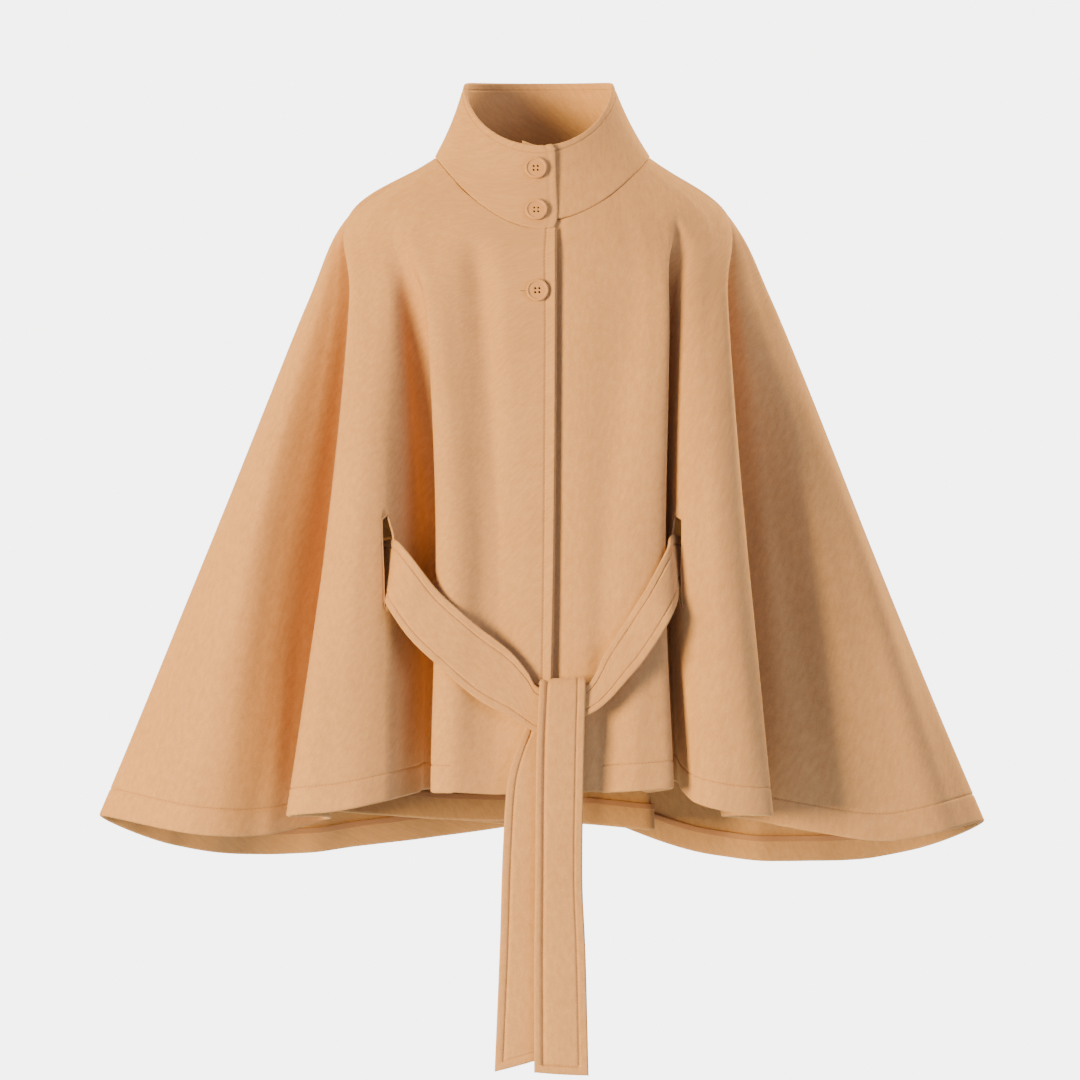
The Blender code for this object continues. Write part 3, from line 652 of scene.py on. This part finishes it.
# How far a slit's lips lie towards the wearer's right and left of its line, in millimetres
LIPS_CLOSED = 0.25               # above and below it
LIP_PULL = 2.0                   # mesh columns over which the cloth beside it is drawn along
SLANT_REACH = 15 * MM
HAIR = 1e-6
LipRow = namedtuple("LipRow", "share to_right to_left")
SLIT_LIPS = {
    "front_right": (LipRow(0, 4.2, 2), LipRow(0.2, 3.6, 9), LipRow(0.6, 1.6, 9.5), LipRow(1, 0.8, 1)),
    "front_left": (LipRow(0, 6, 3), LipRow(0.2, 11, 3), LipRow(0.6, 11, 0.5), LipRow(1, 1, 0.8)),
}


def open_slit(grid, outward, column, rows, name):
    """Splits a column in two and spreads the lips as their table says; gives the cells kept."""
    run = unit(grid[:, column + 1] - grid[:, column - 1])
    share = (rows - SLIT_ROWS[0]) / (SLIT_ROWS[1] - SLIT_ROWS[0])
    shares, to_right, to_left = np.array(SLIT_LIPS[name], float).T
    within = (share > -HAIR) & (share < 1 + HAIR)
    right, left = (np.where(within, np.interp(share, shares, off), LIPS_CLOSED)[:, None] * MM
                   for off in (to_right, to_left))
    length = np.linalg.norm(np.diff(grid[within, column], axis=0), axis=-1).sum()
    slant = SLIT_SLANT * np.exp(-np.abs(share) * length / SLANT_REACH)
    down = unit(np.gradient(grid[:, column], axis=0)) * slant[:, None]
    away = np.exp(-np.abs(np.arange(grid.shape[1]) - column) / LIP_PULL)[:, None]
    rear = name == "front_right"
    right_side = grid[:, :column + 1] + (down[:, None] * rear - (run * right)[:, None]) \
        * away[:column + 1]
    left_side = grid[:, column:] + (down[:, None] * (not rear) + (run * left)[:, None]) \
        * away[column:]
    outward = np.concatenate([outward[:, :column + 1], outward[:, column:]], axis=1)
    keep = np.ones((grid.shape[0] - 1, grid.shape[1]), bool)
    keep[within[:-1] & within[1:], column] = False
    return np.concatenate([right_side, left_side], axis=1), outward, keep


NECK_CLOSE = 0.4                 # under the collar's foot
SIDE_CLOSE = 0.85                # so that no light shows through a side seam
slit_lips = {}
for name, (first_line, last_line, slit_line) in PANELS.items():
    first, last = column_at(first_line), column_at(last_line)
    panel, outward = cape[:, first:last + 1], cape_out[:, first:last + 1]
    outer = WALL / 2 - sunk[:, first:last + 1]
    inner = WALL / 2 + doubled[:, first:last + 1]
    keep = None
    if slit_line:
        column = column_at(slit_line) - first
        panel, outward, keep = open_slit(
            panel, outward, column, cape_rows[:, slit_line], name)
        outer, inner = (np.insert(x, column, x[:, column], axis=1) for x in (outer, inner))
        slit_lips[name] = (panel, outward, column)
    close = (NECK_CLOSE, 1, SIDE_CLOSE if first else 1,
             SIDE_CLOSE if last < cape.shape[1] - 1 else 1)
    piece = cloth_wall(name + "_cloth", panel, outward, wool, outer, inner, keep, close)
    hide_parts(name)
    width, length, area = FLAT[name]
    stitched = [c for c in range(first + 3, last - 2) if hemmed[c]]
    stitch_line(name + "_hem_stitch", cape_face[band_row, stitched], cape_out[band_row, stitched])

stitch_line("placket_stitch", cape_face[4:hem_row - 2, placket_column],
            cape_out[4:hem_row - 2, placket_column])

# The end of the front button's hole, a bar of thread beside the button
BUTTONHOLE = (-16.5, -136.5)     # mm across and up
outer_face = cape + cape_out * WALL / 2
apart = np.hypot(outer_face[..., 0] - BUTTONHOLE[0] * MM, outer_face[..., 2] - BUTTONHOLE[1] * MM)
apart[:, :column_at(LINE["right_centre"])] = 1
row, column = np.unravel_index(apart.argmin(), apart.shape)
stitch_line("buttonhole_stitch", outer_face[row, column - 1:column + 2],
            cape_out[row, column - 1:column + 2], pitch=1.3 * MM, length=1.6 * MM,
            radius=0.5 * MM)


# The placket facing: a second layer of wool inside the right front's edge, turned in with it and
# held by the placket's topstitch. Its fold shows as a second edge beside the front's own.
FACING_PEEP = 1.0 * MM
facing = cape[:, facing_end["right"]:] - cape_out[:, facing_end["right"]:] * (WALL + SEAM_GAP)
facing[:, -1] += unit(facing[:, -1] - facing[:, -2]) * FACING_PEEP
piece = cloth_wall("placket_facing_cloth", facing, cape_out[:, facing_end["right"]:], wool)
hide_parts("placket_facing")


# Hem tape: satin binding folded over the raw edge of the turned-up hem, inside all round. It
# shows inside the back, below the fronts.
SATIN = (0.37, 0.195, 0.12)
TAPE_WIDTH = 5.5 * MM
TAPE_WALL = 0.7 * MM


def satin(name, colour):
    """Woven satin tape: floats along its length, seen as fine streaks with a soft gloss."""
    material, start = new_material(name)
    flat = start.node("ShaderNodeUVMap", {"uv_map": "flat"}, {})
    lengthways = start.node("ShaderNodeMapping", {}, {"Vector": flat, "Scale": (0.12, 1, 1)})
    floats = start.node("ShaderNodeTexNoise", {}, {
        "Vector": lengthways, "Scale": 2600, "Detail": 2}, "Fac")
    shade = start.blend(floats, toned(colour, 0.8), toned(colour, 1.2))
    bump = start.node("ShaderNodeBump", {}, {
        "Strength": 0.3, "Distance": 0.1 * MM, "Height": floats})
    tape = start.node("ShaderNodeBsdfPrincipled", {}, {
        "Base Color": shade, "Roughness": 0.45 + floats * 0.12, "Normal": bump,
        "Specular IOR Level": 0.3})
    start.node("ShaderNodeOutputMaterial", {}, {"Surface": tape})
    return material


tape_satin = satin("tape_satin", SATIN)
TAPES = {"hem_tape_left": "front_left", "hem_tape_back": "back", "hem_tape_right": "front_right"}
for name, panel in TAPES.items():
    first, last = (column_at(line) for line in PANELS[panel][:2])
    columns = [c for c in range(first + 2, last - 1) if hemmed[c]]
    top = cape[band_row + 1, columns]
    down = unit(cape[hem_row, columns] - top)
    normal = cape_out[band_row + 1, columns]
    shares = np.linspace(0, 1, 5)[:, None, None]
    deep = WALL * 1.5 + SEAM_GAP + TAPE_WALL / 2
    strip = top + down * TAPE_WIDTH * shares - normal * deep
    piece = cloth_wall(name + "_satin", strip, np.broadcast_to(normal, strip.shape), tape_satin,
                       TAPE_WALL / 2, TAPE_WALL / 2)
    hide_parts(name)


# Hand slits: each opening in the fronts is bound by a narrow lip of the same wool, folded over
# the cut edge, with a slanted bar across the top.
LIP_RADIUS = 0.9 * MM
LIP_DEPTH = LIP_RADIUS + 0.5 * MM
LIP_SIDES = 12
ROW_PITCH = 3.7                  # mm, about, for the nap's scale along it


def ring_faces(rings, sides):
    """Four-cornered faces between each ring of points and the next, the last and the first too."""
    index = np.arange(rings * sides).reshape(rings, sides)
    ahead = np.roll(index, -1, axis=0)
    return np.stack([index, ahead, np.roll(ahead, -1, axis=1), np.roll(index, -1, axis=1)], axis=-1)


for side in ("left", "right"):
    panel, outward, column = slit_lips["front_" + side]
    rows = cape_rows[:, LINE[side + "_slit"]]
    chosen = np.nonzero((rows >= SLIT_ROWS[0] - HAIR) & (rows <= SLIT_ROWS[1] + HAIR))[0]
    front, rear = panel[chosen, column], panel[chosen, column + 1]
    loop = np.vstack([front, rear[::-1]])
    out = np.vstack([outward[chosen, column], outward[chosen, column + 1][::-1]])
    tangent = unit(np.roll(loop, -1, axis=0) - np.roll(loop, 1, axis=0))
    away = unit(np.cross(tangent, out))
    away *= np.sign(np.sum(away * (loop - loop.mean(axis=0)), axis=1).mean())
    turns = np.radians(np.arange(LIP_SIDES) * 360 / LIP_SIDES)
    tube = (loop[:, None] + away[:, None] * (np.cos(turns)[:, None] + 0.4) * LIP_RADIUS
            + out[:, None] * np.sin(turns)[:, None] * LIP_DEPTH)
    faces = ring_faces(*tube.shape[:2])
    flat = np.stack(np.meshgrid(turns, np.arange(len(loop)) * ROW_PITCH), axis=-1) * MM
    piece = add_mesh("slit_lip_" + side, tube.reshape(-1, 3), faces.reshape(-1, 4),
                     flat.reshape(-1, 2), wool)
    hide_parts("slit_welt_" + side)


# The funnel collar: a band of two layers of wool round the neck, curved in, its top edge dipping
# at the front. The right end laps over the left one and buttons there.
COLLAR = {"half_width": 73, "half_depth": 65, "y": -10, "side_z": 78, "dip": 68, "rise": 3}
COLLAR_SOFTNESS = 0.14           # 0 would start the dip sharply at the sides
COLLAR_HOLLOW = 2.5              # mm, between its two edges
COLLAR_FOOT = 0.9                # mm, above the neck seam
FOOT_TURNS = (-10, 368)          # degrees: left end and right end of the lower edge
TOP_TURNS = (-14.5, 371.5)       # and of the top edge
UNDER_TIP_REACH = 8              # degrees
LAP_REACH = 7                    # degrees
UNDER_TIP = 3                    # mm, the covered end stands above the lap
LAP_CORNERS = ((0, 0.06, 0.8, 0.93, 1), (3.5, 0, 0.5, 2, 5))  # share down, mm drawn back
COLLAR_WALL = 3.4 * MM
COLLAR_COLUMNS = 260
COLLAR_STITCH = 6.5 * MM         # topstitch below the top edge and beside the lapping end


def collar_grid():
    """The band between the neck seam and the top edge, drawn in by a sine half way up.

    The top edge is an oval whose height falls by a softened cosine towards the front.
    """
    turns = np.linspace(*FOOT_TURNS, COLLAR_COLUMNS)
    angle = np.radians(turns)
    low = neck_ring(turns)
    top = np.radians(np.linspace(*TOP_TURNS, COLLAR_COLUMNS))
    forward = (np.cos(top) + np.hypot(np.cos(top), COLLAR_SOFTNESS)) / 2
    backward = np.maximum(0, -np.cos(top))
    high = np.stack([
        COLLAR["half_width"] * np.sin(top),
        COLLAR["y"] - COLLAR["half_depth"] * np.cos(top),
        COLLAR["side_z"] - COLLAR["dip"] * forward + COLLAR["rise"] * backward], axis=-1)
    low = low + unit(high - low) * COLLAR_FOOT
    high[:, 2] += UNDER_TIP * np.exp(-((turns - FOOT_TURNS[0]) / UNDER_TIP_REACH) ** 2)
    out = np.stack([np.sin(angle), -np.cos(angle), 0 * angle], axis=-1)
    length = np.linalg.norm(high - low, axis=-1).mean()
    stitch = COLLAR_STITCH / MM / length
    rows = np.unique(np.concatenate([
        np.linspace(0, 1, 40), stitch + np.array(GROOVE) / length, [0.006, 0.014, 0.986, 0.994]]))
    part = rows[:, None, None]
    hollow = out * COLLAR_HOLLOW * np.sin(np.pi * part)
    lap_end = np.exp(-((FOOT_TURNS[1] - turns) / LAP_REACH) ** 2)
    hollow[..., 0] += np.interp(rows, *LAP_CORNERS)[:, None] * lap_end
    return (high + (low - high) * part - hollow) * MM + lap_offset(turns), rows, stitch


collar, collar_rows, collar_stitch = collar_grid()
collar_out = outward_of(collar)
stitch_row = int(np.argmin(np.abs(collar_rows - collar_stitch)))
from_top = np.abs(lengths_down(collar) - lengths_down(collar)[stitch_row])
collar_run = lengths_across(collar)
from_end = np.abs(collar_run[:, -1:] - collar_run - COLLAR_STITCH)
collar_sunk = GROOVE_DEPTH * np.maximum(
    np.exp(-(from_top / GROOVE_WIDTH) ** 2), np.exp(-(from_end / (1.4 * GROOVE_WIDTH)) ** 2))
piece = cloth_wall("collar_cloth", collar, collar_out, wool,
                   COLLAR_WALL / 2 - collar_sunk, COLLAR_WALL / 2 - collar_sunk * 0.6)
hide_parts("collar")
collar_face = collar + collar_out * (COLLAR_WALL / 2 - collar_sunk)[..., None]
stitch_line("collar_stitch", collar_face[stitch_row, 3:-3], collar_out[stitch_row, 3:-3])


# The belt: a long strip of doubled wool, topstitched near both edges. It runs inside round the
# back, comes out of the slits, is tied once in front and hangs in two tails.
BELT_WALL = 3.4 * MM
BELT_STITCH = 7.5 * MM
BELT_STEPS = 18                  # mesh rows between rows of a table
BELT_COLUMNS = (14, (0.015, 0.985))  # even ones, and shares across close to the edges
BELT_SWELL = 0.5 * MM            # fullness between the edges
BELT_WAVE = 0.15 * MM
BELT_WAVES = (9 * MM, 5.3 * MM)  # their lengths down the belt, over a turn's radians
BELT_GROOVE = 1.25 * MM
BELT_CHANNEL = {"belt_front_tail": 1.8 * MM, "belt_rear_tail": 0.5 * MM}  # deeper at one stitch
BELT_CHANNEL_WIDTH = 2.4 * MM
BELT = {                         # mm: upper edge's x, y and z, then the lower edge's
    "belt_right_arm": (
        (-163, -104, -384, -163, -104, -434),
        (-141, -139, -380, -151, -139, -437),
        (-127, -158, -394, -148, -156, -446),
        (-101, -164, -427, -126, -165, -477),
        (-81, -167.5, -446, -96, -170, -505),
        (-60, -167.5, -464, -62, -172.5, -534),
        (-28, -169.5, -489, -29, -174, -552),
        (-12, -172.5, -508, -13, -174.5, -562),
        (-3, -174.5, -522, -3, -174.5, -567),
        (34, -174.5, -526, 32, -174.5, -566)),
    "belt_left_arm": (
        (151, -91, -384, 151, -91, -434),
        (129, -133, -375, 136, -132, -426),
        (124, -152, -388, 133, -151, -440),
        (103, -163, -427, 127, -170, -457),
        (84, -165, -457, 107, -179, -489),
        (64, -172, -488, 90, -184, -510),
        (44, -180, -522, 54, -184, -546),
        (10, -180.5, -527, 10, -180.5, -560)),
    "belt_knot": (
        (-1, -169.8, -549, 43, -169.8, -549),
        (-1, -169.8, -532, 43, -169.8, -532),
        (-1, -170.3, -524, 43, -170.3, -523)),
    "belt_front_tail": (
        (-1, -173.5, -519.8, 43, -173.5, -518.8),
        (0, -179, -517.5, 44, -179, -515),
        (-0.5, -185, -523, 44, -185, -520),
        (-1, -187, -532, 44, -187, -530),
        (-3, -187, -571, 43, -187, -566),
        (-4, -186, -625, 42, -186, -612),
        (-4.5, -186, -710, 41, -186, -710),
        (-5.5, -185, -780, 44, -185, -780),
        (-5.5, -185, -896, 47, -185, -899)),
    "belt_rear_tail": (
        (-13, -169.4, -552, 30, -169.4, -552),
        (-16, -170.4, -567, 28, -170.4, -567),
        (-23, -175, -584, 24, -175, -584),
        (-31, -177.5, -612, 18, -177.5, -612),
        (-36, -178, -680, 14, -178, -680),
        (-39, -178, -775, 11, -178, -775),
        (-44, -178, -896, 6, -178, -882)),
    "belt_back": (
        (151.5, -90, -384, 151.5, -90, -434),
        (162, -60, -383, 162, -60, -433),
        (160, -10, -380, 160, -10, -430),
        (130, 50, -374, 130, 50, -424),
        (70, 82, -370, 70, 82, -420),
        (0, 88, -368, 0, 88, -418),
        (-70, 82, -370, -70, 82, -420),
        (-130, 50, -374, -130, 50, -424),
        (-165, -10, -380, -165, -10, -430),
        (-172, -62, -383, -172, -62, -433),
        (-163.5, -103, -384, -163.5, -103, -434)),
}

for name, table in BELT.items():
    edges = np.array(table, float) * MM
    places = np.linspace(0, len(table) - 1, (len(table) - 1) * BELT_STEPS + 1)
    free = name.endswith("tail")
    if free:
        last_span = np.linalg.norm(edges[-1, :3] - edges[-2, :3])
        across_end = len(table) - 1 - (BELT_STITCH + np.array(GROOVE) * MM) / last_span
        places = np.union1d(places, across_end)
    both = smooth_through(edges[:, None], places)[:, 0]
    upper, lower = both[:, :3], both[:, 3:]
    width = np.linalg.norm(lower - upper, axis=1).mean()
    marks = np.array([BELT_STITCH, width - BELT_STITCH])
    shares = np.unique(np.concatenate([
        np.linspace(0, 1, BELT_COLUMNS[0]), BELT_COLUMNS[1],
        ((marks[:, None] + np.array(GROOVE) * MM) / width).ravel()]))
    strip = upper[:, None] + (lower - upper)[:, None] * shares[:, None]
    outward = outward_of(strip)
    beside = shares * width
    groove = sum(np.exp(-((beside - mark) / GROOVE_WIDTH) ** 2) for mark in marks)
    channel = BELT_CHANNEL.get(name, 0) * np.exp(-((beside - marks[0]) / BELT_CHANNEL_WIDTH) ** 2)
    run = lengths_down(strip)
    if free:
        to_end = run[-1] - run
        between = smooth_step((beside - marks[0]) / MM + 1) * smooth_step((marks[1] - beside) / MM + 1)
        above = smooth_step((to_end - BELT_STITCH) / MM + 1)
        groove = np.maximum(
            groove * above, between * np.exp(-((to_end - BELT_STITCH) / GROOVE_WIDTH) ** 2))
        channel = channel * above
    swell = BELT_SWELL * np.sin(np.pi * shares)
    wave = sum(np.sin(run / each + late) for late, each in enumerate(BELT_WAVES))
    strip = strip + outward * (BELT_WAVE * wave)[..., None]
    inner = np.broadcast_to(BELT_WALL / 2 + swell - BELT_GROOVE * groove, strip.shape[:2])
    outer = inner - channel
    piece = cloth_wall(name + "_cloth", strip, outward, wool, outer, inner)
    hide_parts(name)
    if name == "belt_knot":
        continue
    face = strip + outward * outer[..., None]
    end = int(np.argmin(np.abs(to_end[:, 0] - BELT_STITCH))) if free else len(strip) - 2
    columns = [int(np.argmin(np.abs(beside - mark))) for mark in marks]
    for number, column in enumerate(columns):
        stitch_line(f"{name}_stitch_{number + 1}", face[2:end, column], outward[2:end, column])
    if free:
        across = slice(columns[0], columns[1] + 1)
        stitch_line(name + "_end_stitch", face[end, across], outward[end, across])


# Buttons: turned four-hole buttons as pale as the wool, two on the collar's lap and one on the
# front. Each has a raised rim round a flat dish and is sewn on through its holes.
BUTTON_RADIUS = 11 * MM
BUTTON_THICKNESS = 3.2 * MM
BUTTON_RIM = 2.0 * MM
BUTTON_DISH = 1.1 * MM
BUTTON_STEP = 0.6 * MM           # from the dish up to the rim
BUTTON_ROUND = 1.1 * MM          # of the outer edge
BUTTON_HOLE = 1.05 * MM
BUTTON_HOLE_CIRCLE = 2.8 * MM
BUTTON_HOLE_DEPTH = 2.1 * MM
BUTTON_RINGS = ((0.05, 5.2, 26), (5.6, 8, 7), (8.2, 10, 9), (10.15, 10.98, 8))  # mm, mm, how many
BUTTON_BACK = ((11, 2), (11, 1), (10.6, 0.3), (9.8, 0), (0.05, 0))  # mm, radius and height
BUTTON_LIFT = 0.8 * MM           # the thread holds it off the cloth
HORN = (0.52, 0.29, 0.145)
# painted shade: near black laid into the buttons' holes to show the shade in them
HOLE_PAINTED_SHADE = (0.035, 0.02, 0.012, 1)


def polished_horn(name, colour):
    """Cast horn: a faint cloudy figure under a half-matt surface; painted shade darkens its holes."""
    material, start = new_material(name)
    place = start.node("ShaderNodeTexCoord", {}, {}, "Object")
    cloud = start.node("ShaderNodeTexNoise", {}, {
        "Vector": place, "Scale": 160, "Detail": 3, "Distortion": 1.5}, "Fac")
    shade = start.blend(cloud, toned(colour, 0.88), toned(colour, 1.1))
    flat = start.node("ShaderNodeUVMap", {"uv_map": "flat"}, {})
    quarter = start.node("ShaderNodeVectorMath", {"operation": "ABSOLUTE"}, {0: flat})
    hole = BUTTON_HOLE_CIRCLE * math.sqrt(0.5)
    gap = start.node("ShaderNodeVectorMath", {"operation": "DISTANCE"}, {
        0: quarter, 1: (hole, hole, 0)}, "Value")
    # painted shade: the base colour turns near black over each of the four holes
    outside_painted_hole = start.node("ShaderNodeMapRange", {"interpolation_type": "SMOOTHSTEP"}, {
        "Value": gap, "From Min": BUTTON_HOLE * 0.8, "From Max": BUTTON_HOLE * 1.1})
    horn = start.node("ShaderNodeBsdfPrincipled", {}, {
        "Base Color": start.blend(outside_painted_hole, HOLE_PAINTED_SHADE, shade), "Roughness": 0.42 + cloud * 0.1})
    start.node("ShaderNodeOutputMaterial", {}, {"Surface": horn})
    return material


def button_profile(radius):
    """Height of the button's face: a flat dish, a raised rounded rim, and its rounded edge."""
    rim = (radius - (BUTTON_RADIUS - BUTTON_RIM - BUTTON_STEP)) / BUTTON_STEP
    face = BUTTON_THICKNESS - BUTTON_DISH * (1 - smooth_step(rim))
    edge = np.clip((radius - (BUTTON_RADIUS - BUTTON_ROUND)) / BUTTON_ROUND, 0, 1)
    return face - BUTTON_ROUND * (1 - np.sqrt(1 - 0.999 * edge ** 2))


horn = polished_horn("button_horn", HORN)
for name in ("button_top", "button_middle", "button_front"):
    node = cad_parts[name]
    points = np.array([vertex.co for vertex in node.data.vertices])
    centre = points.mean(axis=0)
    facing = np.linalg.svd(points - centre)[2][2]
    facing = facing * -np.sign(facing[1])
    depth = (points - centre) @ facing
    seat = centre + facing * (depth.min() + BUTTON_LIFT)
    level = unit(np.cross(facing, [0, 0, 1]))
    upright = np.cross(level, facing)
    radii = np.concatenate([np.linspace(*ring) for ring in BUTTON_RINGS]) * MM
    turns = np.radians(np.arange(0, 360, 3.75))
    rad, turn = np.meshgrid(radii, turns, indexing="ij")
    x, y = rad * np.cos(turn), rad * np.sin(turn)
    height = button_profile(rad)
    for corner in range(4):
        angle = math.radians(45 + 90 * corner)
        gap = np.hypot(x - BUTTON_HOLE_CIRCLE * math.cos(angle),
                       y - BUTTON_HOLE_CIRCLE * math.sin(angle))
        inside = smooth_step((BUTTON_HOLE + 0.15 * MM - gap) / (0.3 * MM))
        height = height - BUTTON_HOLE_DEPTH * inside
    back = np.array([
        [radius * np.cos(turns), radius * np.sin(turns), 0 * turns + rise]
        for radius, rise in BUTTON_BACK]).transpose(0, 2, 1) * MM
    rings = np.concatenate([np.stack([x, y, height], axis=-1), back])
    body = (seat + rings[..., :1] * level + rings[..., 1:2] * upright + rings[..., 2:] * facing)
    faces = ring_faces(*body.shape[:2])[:-1].reshape(-1, 4)
    flat = rings[..., :2].reshape(-1, 2)
    piece = add_mesh(name + "_horn", body.reshape(-1, 3), faces, flat, horn)
    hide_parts(name)
